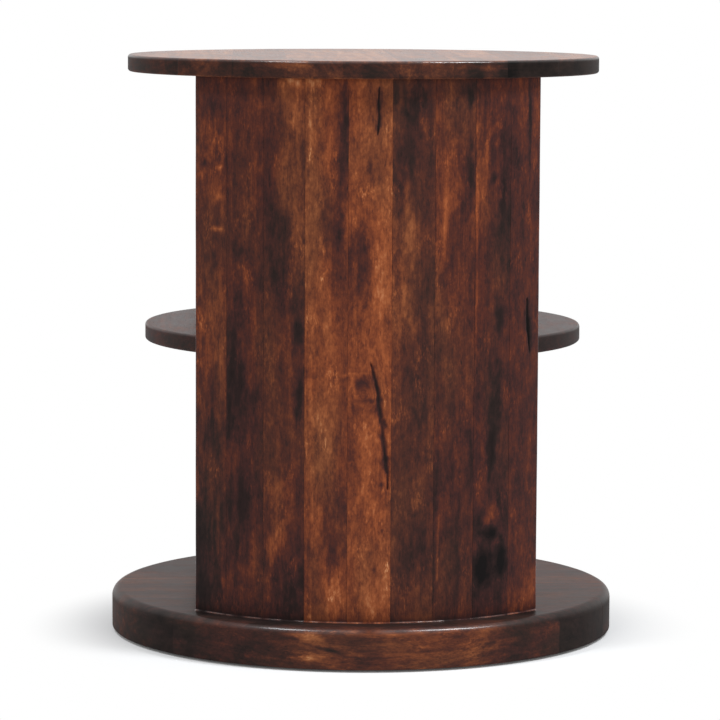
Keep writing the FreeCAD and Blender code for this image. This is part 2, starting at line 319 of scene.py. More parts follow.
# First numbers of the random seeds of the staves, of panel B's choices and of the boards
STAVE_SEED, PANEL_B_SEED, BOARD_SEED = 17, 53, 29

# Upper edges are polished at this angle from the face, over this half band. Hands polish them fully over a
# half span at the front, and by this share elsewhere.
POLISHED_TURN = math.radians(50)
POLISHED_BAND = math.radians(27)
POLISHED_SPAN = 0.12
EDGE_POLISH = 0.15


@dataclass
class Disc:
    """A round of glued-up boards: its node names' stem, its material slot (not used), how the rim is eased
    above and below, the direction the boards run, the tone of each board's faces and rim, how brown its stain
    is, the figure of its front edge, and how finely its boards are divided across and down the rim."""
    stem: str
    slot: str
    eases: tuple
    along_x: bool
    face_tones: tuple
    rim_tones: tuple
    brownness: float
    edge_figure: tuple
    columns: int
    wall_steps: int

    @property
    def boards(self):
        return len(self.face_tones)

    @property
    def levels(self):
        low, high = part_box(f"{self.stem}_1")
        return low.z, high.z

    @property
    def rim(self):
        low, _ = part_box(f"{self.stem}_1")
        return -low.y if self.along_x else -low.x


BASE = Disc(
    "base_board", "base_wood", (0.008, 0.002), True,
    (0.33, 0.30, 0.35, 0.37, 0.32, 0.36), (0.28, 0.18, 0.21, 0.24, 0.22, 0.30),
    0.6, BASE_EDGE_FIGURE, 90, 22)
SHELF = Disc(
    "shelf_board", "shelf_wood", (0.0025, 0.0025), False,
    (0.36, 0.42, 0.36, 0.45, 0.37, 0.42, 0.34), (0.24, 0.28, 0.30, 0.28, 0.30, 0.28, 0.22),
    0.3, (), 60, 10)
TOP = Disc(
    "top_board", "top_wood", (0.0025, 0.0025), False,
    (0.53, 0.60, 0.52, 0.59, 0.63, 0.54, 0.60, 0.49, 0.56),
    (0.24, 0.34, 0.30, 0.38, 0.30, 0.38, 0.34, 0.14, 0.12),
    0.9, TOP_EDGE_FIGURE, 50, 10)


# Figure of the wood

def ripple(across, along, rng, waves=20):
    """A smooth random surface of about unit height: the sum of sine waves of random slope and phase."""
    across_rate = rng.normal(0, 1, waves)
    along_rate = rng.normal(0, 1, waves)
    phase = rng.uniform(0, 2 * math.pi, waves)
    turns = across[..., None] * across_rate + along[..., None] * along_rate
    return np.sin(2 * math.pi * turns + phase).sum(-1) * math.sqrt(2 / waves)


def figure(across, along, marks, rng):
    """The sum of the marks' soft patches. Each falls off as exp(-distance squared) from its middle line, and
    random ripples, in proportion to its own size, make its edges uneven."""
    wander = 0.26 * ripple(across * 1.6, along * 7, rng) + 0.14 * ripple(across * 3, along * 26, rng)
    feather = 0.20 * ripple(across * 4, along * 3, rng) + 0.12 * ripple(across * 5, along * 24, rng)
    tone = np.zeros_like(across)
    for middle, height, half_width, half_length, lean, strength in marks:
        rise = (along - height) / half_length + feather
        aside = (across - middle - lean * (along - height)) / half_width + wander
        tone += strength * np.exp(-rise ** 2 - aside ** 2)
    return tone


def random_marks(rng, count):
    """Marks at random places, slender along the grain, some lighter and some darker."""
    return [
        (rng.uniform(0, 1), rng.uniform(0, 1), rng.uniform(0.08, 0.45), rng.uniform(0.02, 0.16),
         rng.normal(0, 0.3), rng.uniform(-0.20, 0.16))
        for _ in range(count)
    ]


def knot_effect(aside, up, knots, rng):
    """How knots change the tone and push the grain aside. A grain line at distance d from a knot of half
    width a passes at d (1 - a^2 / (d^2 + height^2 + a^2 / 2)), much as a stream flows round a post. The
    knot's darkness falls off as exp(-distance squared), unevenly."""
    tone, shift = np.zeros_like(aside), np.zeros_like(aside)
    uneven = 1 + 0.14 * ripple(aside * 55, up * 55, rng) + 0.07 * ripple(aside * 190, up * 190, rng)
    for middle, height, half_width, half_height, darkness in knots:
        over = aside - middle * STAVE_WIDTH
        rise = up - height * STAVE_HEIGHT
        distance = np.hypot(over / half_width, rise / half_height) * uneven
        tone -= darkness * np.exp(-distance ** 2)
        stretched = rise * half_width / half_height
        shift -= over * half_width ** 2 / (over ** 2 + stretched ** 2 + half_width ** 2 / 2)
    return tone, shift


def crack_closeness(across, along, path, half_width, rng):
    """1 on a crack's path and 0 away from it: exp(-distance squared) from the polyline, in half widths. The
    crack narrows to a third at both ends and is a little ragged."""
    scale = (STAVE_WIDTH, STAVE_HEIGHT)
    points = np.array(path) * scale
    here = np.stack([across, along], axis=-1) * scale
    nearest = np.full(across.shape, np.inf)
    place = np.zeros(across.shape)
    pieces = len(points) - 1
    for index in range(pieces):
        start, run = points[index], points[index + 1] - points[index]
        share = np.clip(((here - start) @ run) / (run @ run), 0, 1)
        distance = np.linalg.norm(here - start - share[..., None] * run, axis=-1)
        place = np.where(distance < nearest, (index + share) / pieces, place)
        nearest = np.minimum(nearest, distance)
    taper = 0.33 + 0.67 * np.sin(math.pi * place)
    ragged = np.exp(0.28 * ripple(across * 4, along * 34, rng))
    return np.exp(-(nearest * ragged / (half_width * taper)) ** 2)


# Meshes

def closed_mesh(name, sections, fields, capped=(True, True)):
    """One closed skin through section loops, an array of sections by points by xyz. Neighbouring loops are
    joined by quads and the end loops are filled flat. Fields are point attributes in the same layout."""
    count, around, _ = sections.shape
    index = np.arange(count * around).reshape(count, around)
    here, beyond = index[:-1], index[1:]
    quads = np.stack([here, np.roll(here, -1, 1), np.roll(beyond, -1, 1), beyond], axis=-1).reshape(-1, 4)
    points = sections.reshape(-1, 3)
    first, second, third, fourth = np.moveaxis(points[quads], 1, 0)
    volume = (first * np.cross(second, third)).sum() + (first * np.cross(third, fourth)).sum()
    faces = quads.tolist()
    if capped[0]:
        faces.append(index[0][::-1].tolist())
    if capped[1]:
        faces.append(index[-1].tolist())
    if volume < 0:
        faces = [face[::-1] for face in faces]
    mesh = bpy.data.meshes.new(name)
    mesh.from_pydata(points.tolist(), [], faces)
    for field, values in fields.items():
        kind, part = ("FLOAT_VECTOR", "vector") if values.ndim == 3 else ("FLOAT", "value")
        attribute = mesh.attributes.new(field, kind, "POINT")
        attribute.data.foreach_set(part, values.astype(np.float32).ravel())
    return mesh


def merge_doubles(mesh):
    """Joins points that coincide, so that a section that closes to a line leaves no open seam."""
    work = bmesh.new()
    work.from_mesh(mesh)
    bmesh.ops.remove_doubles(work, verts=work.verts, dist=1e-6)
    work.to_mesh(mesh)
    work.free()


def finish_piece(node, mesh, material):
    """A finished piece that stands for one CAD node: smooth, with edges over 40 degrees kept sharp."""
    mesh.shade_smooth()
    mesh.set_sharp_from_angle(angle=math.radians(40))
    mesh.materials.clear()
    mesh.materials.append(material)
    piece = bpy.data.objects.new(f"{node}_wood", mesh)
    bpy.context.scene.collection.objects.link(piece)
    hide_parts(node)
    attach(piece, "root")


# Panels

def stave_loop(middle, first_ease, last_ease, columns):
    """Angles, radii and edge polish round a stave's section: outer face, last side, inner face and first
    side. Each corner is a quarter round: the angle runs in by ease (1 - sin turn) and the radius by
    ease (1 - cos turn). The free ends' corners are polished most at their middle."""
    half = STAVE_ARC / 2
    bend = np.linspace(0, math.pi / 2, 5)[1:]

    def face(radius, places):
        reach = half - np.where(places > 0, last_ease, first_ease) / radius
        return middle + places * reach, np.full(places.shape, radius), np.zeros(places.shape)

    def corner(side, radius, inward, turn):
        ease = last_ease if side > 0 else first_ease
        angle = middle + side * (half - ease / radius * (1 - np.sin(turn)))
        polish = np.sin(2 * turn) * (ease == PANEL_END_EASE)
        return angle, radius - inward * ease * (1 - np.cos(turn)), polish

    strips = [
        face(PANEL_OUTER, np.linspace(-1, 1, columns)),
        corner(1, PANEL_OUTER, 1, bend),
        corner(1, PANEL_INNER, -1, bend[::-1]),
        face(PANEL_INNER, np.linspace(1, -1, columns // 2)),
        corner(-1, PANEL_INNER, -1, bend),
        corner(-1, PANEL_OUTER, 1, bend[::-1]),
    ]
    return [np.concatenate(values) for values in zip(*strips)]


def make_stave(panel, number, material, tone, brownness, marks, knots, cracks, columns, rows):
    """The stave's section carried up its height. Slow sine waves give the outer face the shallow hollows of
    hand sanding, cracks are pressed in along their paths, and at the foot a concave quarter round of lacquer,
    bead - sqrt(bead^2 - (bead - height)^2), runs out on to the base."""
    node = f"panel_{panel}_stave_{number}"
    rng = np.random.default_rng([STAVE_SEED, ord(panel), number])
    middle = PANEL_FACING[panel] + (number - (STAVES + 1) / 2) * STAVE_ARC
    first_ease = PANEL_END_EASE if number == 1 else JOINT_ARRIS
    last_ease = PANEL_END_EASE if number == STAVES else JOINT_ARRIS
    angles, radii, polishes = stave_loop(middle, first_ease, last_ease, columns)
    foot_rows = LACQUER_BEAD * (1 - np.cos(np.linspace(0, math.pi / 2, 7)))
    rises = np.concatenate([foot_rows[:-1], np.linspace(LACQUER_BEAD, STAVE_HEIGHT, rows)])
    up, angle = np.meshgrid(rises, angles, indexing="ij")
    radius = np.broadcast_to(radii, up.shape)
    across = (angle - middle) / STAVE_ARC + 0.5
    along = up / STAVE_HEIGHT
    outer = np.clip((radius - PANEL_INNER) / (PANEL_OUTER - PANEL_INNER), 0, 1) ** 8

    crack, press = np.zeros_like(up), np.zeros_like(up)
    for path, half_width, depth in cracks:
        closeness = crack_closeness(across, along, path, half_width, rng) * outer
        crack = np.maximum(crack, closeness)
        press = np.maximum(press, depth * closeness)
    hollow = SANDING_DEPTH * (1 + np.clip(ripple(across * 0.5, along * 5, rng), -1, 1))
    over_bead = np.clip(LACQUER_BEAD - up, 0, None)
    bead = LACQUER_BEAD - np.sqrt(LACQUER_BEAD ** 2 - over_bead ** 2)
    sunk = radius + outer * (bead - press - hollow)
    # The lacquer bead carries more lacquer, and its tone gets a painted highlight that stands for light on
    # it.
    on_bead = outer * (up < LACQUER_BEAD) * np.clip(0.5 + 0.5 * ripple(across * 1.5, along, rng), 0, 1)
    # Painted shade: the stave's tone is darker just above its foot, in the corner on the base.
    painted_foot_shade = FOOT_SHADE * outer * np.exp(-(up / FOOT_SHADE_HEIGHT) ** 2)
    points = np.stack([sunk * np.cos(angle), sunk * np.sin(angle), STAVE_FOOT + up], axis=-1)

    knot_tone, knot_shift = knot_effect(across * STAVE_WIDTH, up, knots, rng)
    pith = (rng.normal(0, 0.05), rng.uniform(0.03, 0.12))
    grain = np.stack([
        (across - 0.5) * STAVE_WIDTH + knot_shift + pith[0],
        PANEL_OUTER - radius + pith[1],
        up + rng.uniform(0, 40),
    ], axis=-1)
    figured = tone + figure(across, along, marks, rng) + knot_tone
    fields = {
        "grain": grain,
        "place": points,
        "tone": figured - CRACK_DARKNESS * crack - painted_foot_shade + BEAD_PAINTED_HIGHLIGHT * on_bead,
        "seam": np.minimum(across, 1 - across) * STAVE_WIDTH,
        "polish": np.maximum(polishes, on_bead),
        "brownness": np.full(up.shape, brownness),
    }
    finish_piece(node, closed_mesh(node, points, fields), material)


def make_panels(material):
    """Panel A follows the photograph stave by stave, and panel B is other wood of the same kind."""
    for number in range(1, STAVES + 1):
        make_stave("a", number, material, STAVE_TONES[number - 1], STAVE_BROWNNESS[number - 1],
                   STAVE_FIGURE[number], STAVE_KNOTS.get(number, ()), STAVE_CRACKS.get(number, ()),
                   columns=64, rows=300)
        rng = np.random.default_rng([PANEL_B_SEED, number])
        make_stave("b", number, material, rng.uniform(0.33, 0.60), rng.uniform(-0.4, 0.4),
                   random_marks(rng, 10), (), (), columns=36, rows=160)


# Discs

def rim_section(cross, rim, eases, levels, flat_steps, wall_steps):
    """Half lengths, heights and edge polish round a board's section at each cross position, for the half that
    lies on the positive side: along the top face, over the eased rim and back along the bottom face. A
    point of the disc's profile at radius r lies at the square root of r squared less the cross position
    squared. The upper edge is polished where its round turns from the face to the rim, as exp(-angle
    squared), and the bare rim below is dull."""
    bottom, top = levels
    ahead = np.abs(cross)[:, None]
    rim = rim[:, None]
    ease_above, ease_below = eases[0][:, None], eases[1][:, None]
    steps = np.linspace(0, 1, 9)

    def length(radius):
        return np.sqrt(np.clip(radius ** 2 - ahead ** 2, 0, None))

    def turns(ease):
        start = np.arcsin(np.clip((ahead - rim + ease) / ease, 0, 1))
        return start + (math.pi / 2 - start) * steps

    above, below = turns(ease_above), turns(ease_below)[:, ::-1]
    # The last step across a face stops just short of the eased edge, so that the face is shaded flat
    shares = np.append(np.linspace(0, 1, flat_steps)[:-1], 0.996)
    wall = np.linspace(1, 0, wall_steps)[1:-1]
    edge_above = top - ease_above * (1 - np.cos(above))
    edge_below = bottom + ease_below * (1 - np.cos(below))
    shape = (len(cross), flat_steps)
    lengths = np.concatenate([
        length(np.maximum(rim - ease_above, ahead)) * shares,
        length(rim - ease_above * (1 - np.sin(above))),
        length(rim) + 0 * wall,
        length(rim - ease_below * (1 - np.sin(below))),
        length(np.maximum(rim - ease_below, ahead)) * shares[::-1],
    ], axis=1)
    heights = np.concatenate([
        np.broadcast_to(edge_above[:, :1], shape),
        edge_above,
        bottom + ease_below + (top - bottom - ease_above - ease_below) * wall,
        edge_below,
        np.broadcast_to(edge_below[:, -1:], shape),
    ], axis=1)
    worn = np.exp(-((above - POLISHED_TURN) / POLISHED_BAND) ** 2)
    bared = np.clip((above - POLISHED_TURN) / (math.pi / 2 - POLISHED_TURN), 0, 1)
    polish = np.concatenate([
        np.zeros(shape), worn - bared, np.full((len(cross), len(wall) + len(steps)), -1.0), np.zeros(shape),
    ], axis=1)
    return lengths, heights, polish


def painted_corner_shade(x, y, height):
    """Painted shade on the base in the corner at the panels' feet, which falls off as exp(-distance squared).
    """
    out = np.hypot(x, y)
    towards_panel = np.abs(y) / np.maximum(out, 1e-6)
    beside = np.clip((towards_panel - math.cos(PANEL_ARC / 2)) / CORNER_SHADE_FADE, 0, 1)
    distance = (out - PANEL_OUTER - CORNER_SHADE_OFFSET) / CORNER_SHADE_WIDTH
    on_face = height > BASE.levels[1] - 0.001
    return -CORNER_SHADE * beside * np.exp(-distance ** 2) * on_face


def make_board(disc, number, rim_at, eases_at, stain=None, flat_steps=26):
    """One board of a disc: its section, a slice along the grain, is carried from one joint to the other, with
    cross positions evenly spaced round the rim. The rim has the slight unevenness of hand sanding."""
    node = f"{disc.stem}_{number}"
    rng = np.random.default_rng([BOARD_SEED, sum(map(ord, node))])
    width = 2 * disc.rim / disc.boards
    start = -disc.rim + (number - 1) * width
    end = start + width
    widest = rim_at(np.array([max(abs(start), abs(end))]))[0]
    turns = np.linspace(math.asin(max(start / widest, -1)), math.asin(min(end / widest, 1)), disc.columns)
    cross = np.clip(widest * np.sin(turns), start, end)
    lengths, heights, polishes = rim_section(
        cross, rim_at(cross), eases_at(cross), disc.levels, flat_steps, disc.wall_steps)
    along = np.concatenate([lengths, -lengths[:, ::-1]], axis=1)
    height = np.concatenate([heights, heights[:, ::-1]], axis=1)
    polish = np.concatenate([polishes, polishes[:, ::-1]], axis=1)
    across = np.broadcast_to(cross[:, None], along.shape)
    out = np.hypot(across, along)

    near_rim = np.clip((out / widest - 0.95) / 0.05, 0, 1)
    hollow = SANDING_DEPTH * (1 + np.clip(ripple(across * 14, along * 14, rng), -1, 1)) * near_rim
    shrink = 1 - hollow / widest
    x, y = (along, across) if disc.along_x else (across, along)
    points = np.stack([x * shrink, y * shrink, height], axis=-1)

    pith = (rng.normal(0, 0.05), rng.uniform(0.02, 0.10))
    grain = np.stack([
        across - (start + end) / 2 + pith[0],
        height - disc.levels[0] + pith[1],
        along + rng.uniform(0, 40),
    ], axis=-1)
    handled = EDGE_POLISH + (1 - EDGE_POLISH) * np.exp(-(x / POLISHED_SPAN) ** 2) * (y < 0)
    on_rim = np.clip((out - widest + disc.eases[0]) / disc.eases[0], 0, 1)
    plain = disc.face_tones[number - 1] * (1 - on_rim) + disc.rim_tones[number - 1] * on_rim
    share_across, share_along = (across - start) / width, 0.5 + along / (2 * widest)
    tone = plain + BOARD_FIGURE * figure(share_across, share_along, random_marks(rng, 9), rng)
    share_up = (height - disc.levels[0]) / (disc.levels[1] - disc.levels[0])
    tone += on_rim * (y < 0) * figure(share_up, 0.5 + x / (2 * disc.rim), disc.edge_figure, rng)
    # The stain function, where one is given, adds painted shade to the tone.
    if stain:
        tone += stain(x, y, height)
    fields = {
        "grain": grain,
        "place": np.stack([across, height, along], axis=-1),
        "tone": tone,
        "seam": np.minimum(across - start, end - across),
        "polish": np.where(polish > 0, polish * handled, polish),
        "brownness": np.full(tone.shape, disc.brownness),
    }
    capped = (start > -widest + 1e-6, end < widest - 1e-6)
    mesh = closed_mesh(node, points, fields, capped)
    merge_doubles(mesh)
    return node, mesh


def make_round(disc, material, stain=None):
    """All boards of a plain round disc, with counterbores where it carries screws."""
    def rim_at(cross):
        return np.full(cross.shape, disc.rim)

    def eases_at(cross):
        return [np.full(cross.shape, ease) for ease in disc.eases]

    for number in range(1, disc.boards + 1):
        node, mesh = make_board(disc, number, rim_at, eases_at, stain)
        if disc is BASE and number in (1, disc.boards):
            mesh = counterbored(mesh, -1 if number == 1 else 1)
        finish_piece(node, mesh, material)


def make_shelf(material):
    """The shelf's boards. The rim's radius is the cross position over the sine of the panels' half arc, held
    between the panels' inner faces and the full rim, so it follows the inner faces between the panels'
    ends, then the ends, and then the free rim."""
    seat = PANEL_INNER - SHELF_FIT
    slope = math.sin(PANEL_ARC / 2 + SHELF_FIT / PANEL_INNER)

    def rim_at(cross):
        return np.clip(np.abs(cross) / slope, seat, SHELF.rim)

    def eases_at(cross):
        free = rim_at(cross) > SHELF.rim - 1e-6
        return [np.where(free, ease, SHELF_SEAT_EASE) for ease in SHELF.eases]

    for number in range(1, SHELF.boards + 1):
        node, mesh = make_board(SHELF, number, rim_at, eases_at)
        finish_piece(node, mesh, material)


def screw_places(side):
    """Middles of the screws that go up into one panel."""
    turns = [(number - (STAVES + 1) / 2) * STAVE_ARC for number in SCREW_STAVES]
    return [(SCREW_RING * math.sin(turn), side * SCREW_RING * math.cos(turn)) for turn in turns]


def counterbored(mesh, side):
    """The board's mesh with round counterbores cut into its underside: cylinders, circles carried straight
    up from a little below, are taken away from it."""
    bottom = BASE.levels[0]
    around = np.linspace(0, 2 * math.pi, 48, endpoint=False)
    heights = np.array([bottom - 0.002, bottom + COUNTERBORE_DEPTH])
    board = bpy.data.objects.new("board", mesh)
    bpy.context.scene.collection.objects.link(board)
    cutters = []
    for x, y in screw_places(side):
        rise, turn = np.meshgrid(heights, around, indexing="ij")
        points = np.stack([
            x + COUNTERBORE_RADIUS * np.cos(turn), y + COUNTERBORE_RADIUS * np.sin(turn), rise], axis=-1)
        fields = {
            "grain": points[..., [1, 2, 0]],
            "place": points[..., [1, 2, 0]],
            "tone": np.full(turn.shape, RAW_TONE),
            "seam": np.full(turn.shape, 0.01),
            "polish": np.zeros(turn.shape),
            "brownness": np.full(turn.shape, BASE.brownness),
        }
        cutter = bpy.data.objects.new("cutter", closed_mesh("cutter", points, fields))
        bpy.context.scene.collection.objects.link(cutter)
        cut = board.modifiers.new("counterbore", "BOOLEAN")
        cut.operation = "DIFFERENCE"
        cut.solver = "EXACT"
        cut.object = cutter
        cutters.append(cutter)
    shaped = board.evaluated_get(bpy.context.evaluated_depsgraph_get())
    result = bpy.data.meshes.new_from_object(shaped)
    for scaffold in (board, *cutters):
        bpy.data.objects.remove(scaffold)
    return result


# Materials

def linear(hex_colour):
    """A colour written as six hex digits, as the linear values that shaders take."""
    parts = [int(hex_colour[index:index + 2], 16) / 255 for index in (0, 2, 4)]
    values = [part / 12.92 if part <= 0.04045 else ((part + 0.055) / 1.055) ** 2.4 for part in parts]
    return (*values, 1.0)


def add(tree, kind, inputs=None, **settings):
    """A shader node with its settings, and each named input set to a value or linked to a socket."""
    made = tree.nodes.new("ShaderNode" + kind)
    for key, value in settings.items():
        setattr(made, key, value)
    for key, value in (inputs or {}).items():
        if isinstance(value, bpy.types.NodeSocket):
            tree.links.new(value, made.inputs[key])
        else:
            made.inputs[key].default_value = value
    return made


def maths(tree, operation, first, second=0.0, third=0.0, clamp=False):
    """The result of a Math node."""
    return add(tree, "Math", {0: first, 1: second, 2: third}, operation=operation, use_clamp=clamp).outputs[0]


def vectors(tree, operation, first, second=(0.0, 0.0, 0.0)):
    """The vector that a Vector Math node gives."""
    return add(tree, "VectorMath", {0: first, 1: second}, operation=operation).outputs[0]


def remap(tree, value, low, high, new_low, new_high):
    """A value carried from one range to another and held within it."""
    return add(tree, "MapRange", {0: value, 1: low, 2: high, 3: new_low, 4: new_high}).outputs[0]


def stretched_noise(tree, grain, rates, detail, roughness=0.5):
    """Noise with its own rate per metre across, through and along the wood, from about -0.5 to 0.5."""
    scaled = vectors(tree, "MULTIPLY", grain, rates)
    noise = add(tree, "TexNoise", {"Vector": scaled, "Scale": 1.0, "Detail": detail, "Roughness": roughness})
    return maths(tree, "SUBTRACT", noise.outputs[0], 0.5)


def colour_ramp(tree, factor, stops):
    """The colour at a place between stops, each a place and a colour."""
    made = add(tree, "ValToRGB", {0: factor})
    elements = made.color_ramp.elements
    while len(elements) < len(stops):
        elements.new(0.5)
    for element, (place, colour) in zip(elements, stops):
        element.position = place
        element.color = linear(colour)
    return made.outputs[0]


def colour_mix(tree, factor, first, second):
    """The first colour at factor 0, and the second at 1."""
    made = add(tree, "Mix", data_type="RGBA")
    for socket, value in ((made.inputs[0], factor), (made.inputs[6], first), (made.inputs[7], second)):
        tree.links.new(value, socket)
    return made.outputs[2]


def growth_rings(tree, given):
    """Growth rings about the pith: noise of the distance from the pith, in ring pitches, after the grain has
    been bent by slow noise."""
    slow = vectors(tree, "MULTIPLY", given["Grain"], (24, 24, 2.6))
    drift = add(tree, "TexNoise", {"Vector": slow, "Scale": 1.0, "Detail": 2.0}).outputs[1]
    bend = vectors(tree, "MULTIPLY", vectors(tree, "SUBTRACT", drift, (0.5, 0.5, 0.5)), (0.03, 0.03, 0.0))
    flat = vectors(tree, "MULTIPLY", vectors(tree, "ADD", given["Grain"], bend), (1, 1, 0))
    radius = add(tree, "VectorMath", {0: flat}, operation="LENGTH").outputs["Value"]
    place = maths(tree, "DIVIDE", radius, given["Ring Pitch"])
    uneven = {"W": place, "Scale": 1.0, "Detail": 3.0, "Roughness": 0.6}
    rings = add(tree, "TexNoise", uneven, noise_dimensions="1D")
    return maths(tree, "MULTIPLY", maths(tree, "SUBTRACT", rings.outputs[0], 0.5), given["Ring Strength"])


def stained_grain_group():
    """Stained hardwood. Smoky stain, laid on over the joints, is added to the painted tone; rings, streaks,
    mottling, specks, fibres and clumps of light flecks follow the grain and show through it, less where the
    stain is dark; pores and glue seams are dark. Polish is 1 on rounded edges, which are worn lighter in
    places and carry more lacquer, and -1 on bare rims, which are duller and carry none. The tone picks the
    colour between a redder and a browner stain."""
    tree = bpy.data.node_groups.new("stained_grain", "ShaderNodeTree")
    for name in ("Grain", "Place"):
        tree.interface.new_socket(name=name, in_out="INPUT", socket_type="NodeSocketVector")
    for name in ("Tone", "Seam", "Polish", "Brownness", "Ring Pitch", "Ring Strength", "Streak Strength",
                 "Mottle Strength", "Fleck Strength", "Dullness", "Face Lacquer"):
        tree.interface.new_socket(name=name, in_out="INPUT", socket_type="NodeSocketFloat")
    tree.interface.new_socket(name="Color", in_out="OUTPUT", socket_type="NodeSocketColor")
    for name in ("Roughness", "Lacquer", "Height"):
        tree.interface.new_socket(name=name, in_out="OUTPUT", socket_type="NodeSocketFloat")
    given = tree.nodes.new("NodeGroupInput").outputs
    grain, place = given["Grain"], given["Place"]

    cloud = stretched_noise(tree, place, (24, 24, 9), 3)
    smoke = stretched_noise(tree, place, (75, 75, 32), 4, 0.6)
    streak = stretched_noise(tree, grain, (170, 170, 11), 3, 0.55)
    mottle = stretched_noise(tree, grain, (230, 230, 110), 4, 0.65)
    speck = stretched_noise(tree, grain, (600, 600, 320), 2, 0.6)
    fibre = stretched_noise(tree, grain, (900, 900, 80), 2, 0.6)
    clump = remap(tree, stretched_noise(tree, grain, (75, 75, 40), 2), 0.02, 0.16, 0.0, 1.0)
    fleck = remap(tree, stretched_noise(tree, grain, (620, 620, 210), 2, 0.6), 0.0, 0.2, 0.0, 1.0)
    pores = remap(tree, stretched_noise(tree, grain, (1300, 1300, 130), 1), 0.17, 0.27, 0.0, 1.0)
    seam = remap(tree, given["Seam"], 0.0, SEAM_REACH, 1.0, 0.0)
    edge = maths(tree, "MAXIMUM", given["Polish"], 0.0)
    bare = maths(tree, "SUBTRACT", edge, given["Polish"])
    worn = maths(tree, "MULTIPLY", edge, remap(tree, mottle, 0.0, 0.2, 0.0, 1.0))

    broad = maths(tree, "MULTIPLY_ADD", cloud, 0.22, given["Tone"])
    broad = maths(tree, "MULTIPLY_ADD", smoke, 0.40, broad)
    detail = maths(tree, "MULTIPLY_ADD", streak, given["Streak Strength"], growth_rings(tree, given))
    detail = maths(tree, "MULTIPLY_ADD", mottle, given["Mottle Strength"], detail)
    detail = maths(tree, "MULTIPLY_ADD", speck, 0.24, detail)
    detail = maths(tree, "MULTIPLY_ADD", fibre, 0.16, detail)
    clumps = maths(tree, "MULTIPLY", maths(tree, "MULTIPLY", fleck, clump), given["Fleck Strength"])
    detail = maths(tree, "ADD", detail, clumps)
    tone = maths(tree, "MULTIPLY_ADD", detail, remap(tree, broad, 0.12, 0.62, 0.35, 1.15), broad)
    tone = maths(tree, "MULTIPLY_ADD", pores, -0.12, tone)
    tone = maths(tree, "MULTIPLY_ADD", worn, 0.12, tone)
    tone = maths(tree, "MULTIPLY_ADD", seam, -0.05, tone, clamp=True)
    hue = remap(tree, stretched_noise(tree, place, (26, 26, 7), 2), -0.06, 0.18, 0.0, 0.7)
    hue = maths(tree, "ADD", hue, given["Brownness"], clamp=True)
    colour = colour_mix(tree, hue, colour_ramp(tree, tone, RED_STAIN), colour_ramp(tree, tone, BROWN_STAIN))

    gloss = maths(tree, "MULTIPLY_ADD", smoke, 0.14, given["Dullness"])
    gloss = maths(tree, "MULTIPLY_ADD", pores, 0.12, gloss)
    gloss = maths(tree, "MULTIPLY_ADD", fibre, 0.08, gloss)
    gloss = maths(tree, "MULTIPLY_ADD", bare, 0.2, gloss)
    covered = maths(tree, "MULTIPLY", maths(tree, "SUBTRACT", 1.0, bare), given["Face Lacquer"])
    lacquer = maths(tree, "MULTIPLY_ADD", edge, remap(tree, smoke, -0.2, 0.1, 0.6, 1.0), covered, clamp=True)
    relief = maths(tree, "MULTIPLY_ADD", pores, -0.7, maths(tree, "MULTIPLY", fibre, 0.5))
    relief = maths(tree, "MULTIPLY_ADD", streak, 0.4, relief)
    relief = maths(tree, "MULTIPLY_ADD", seam, -0.4, relief)

    out = tree.nodes.new("NodeGroupOutput").inputs
    for value, socket in ((colour, "Color"), (gloss, "Roughness"), (lacquer, "Lacquer"), (relief, "Height")):
        tree.links.new(value, out[socket])
    return tree


def shaded_material(name):
    """A new material, its node tree and its shader."""
    material = bpy.data.materials.new(name)
    material.use_nodes = True
    return material, material.node_tree, material.node_tree.nodes["Principled BSDF"]


def wood_material(name, grain_group, rings, streaks, mottle, flecks, dullness, lacquer, shine, relief):
    """Stained wood under a satin lacquer that is thicker on eased edges."""
    material, tree, shader = shaded_material(name)
    wood = tree.nodes.new("ShaderNodeGroup")
    wood.node_tree = grain_group
    for field in ("Grain", "Place"):
        value = add(tree, "Attribute", attribute_name=field.lower()).outputs["Vector"]
        tree.links.new(value, wood.inputs[field])
    for field in ("Tone", "Seam", "Polish", "Brownness"):
        value = add(tree, "Attribute", attribute_name=field.lower()).outputs["Fac"]
        tree.links.new(value, wood.inputs[field])
    settings = {
        "Ring Pitch": RING_PITCH, "Ring Strength": rings, "Streak Strength": streaks,
        "Mottle Strength": mottle, "Fleck Strength": flecks, "Dullness": dullness, "Face Lacquer": lacquer,
    }
    for key, value in settings.items():
        wood.inputs[key].default_value = value
    bump = add(tree, "Bump", {"Strength": relief, "Distance": 0.0003, "Height": wood.outputs["Height"]})
    tree.links.new(wood.outputs["Color"], shader.inputs["Base Color"])
    tree.links.new(wood.outputs["Roughness"], shader.inputs["Roughness"])
    tree.links.new(wood.outputs["Lacquer"], shader.inputs["Coat Weight"])
    tree.links.new(bump.outputs[0], shader.inputs["Normal"])
    shader.inputs["Specular IOR Level"].default_value = shine
    shader.inputs["Coat Roughness"].default_value = 0.22
    shader.inputs["Coat IOR"].default_value = 1.55
    return material


def object_noise(tree, rates, detail=3.0):
    """Noise on Object coordinates, from about -0.5 to 0.5."""
    return stretched_noise(tree, add(tree, "TexCoord").outputs["Object"], rates, detail)


def dowel_material():
    """Plain pale hardwood with upright grain."""
    material, tree, shader = shaded_material("dowel_beech")
    streak = object_noise(tree, (900, 900, 60))
    colours = ((0.2, "a97f55"), (0.5, "c39a6c"), (0.8, "d5b184"))
    tree.links.new(colour_ramp(tree, maths(tree, "ADD", streak, 0.5), colours), shader.inputs["Base Color"])
    tree.links.new(maths(tree, "MULTIPLY_ADD", streak, 0.2, 0.6), shader.inputs["Roughness"])
    return material


def screw_material():
    """Zinc plate with faint clouding."""
    material, tree, shader = shaded_material("screw_zinc")
    cloud = object_noise(tree, (420, 420, 420))
    colours = ((0.3, "8d8a84"), (0.7, "b8b4aa"))
    tree.links.new(colour_ramp(tree, maths(tree, "ADD", cloud, 0.5), colours), shader.inputs["Base Color"])
    tree.links.new(maths(tree, "MULTIPLY_ADD", cloud, 0.25, 0.38), shader.inputs["Roughness"])
    shader.inputs["Metallic"].default_value = 1.0
    return material


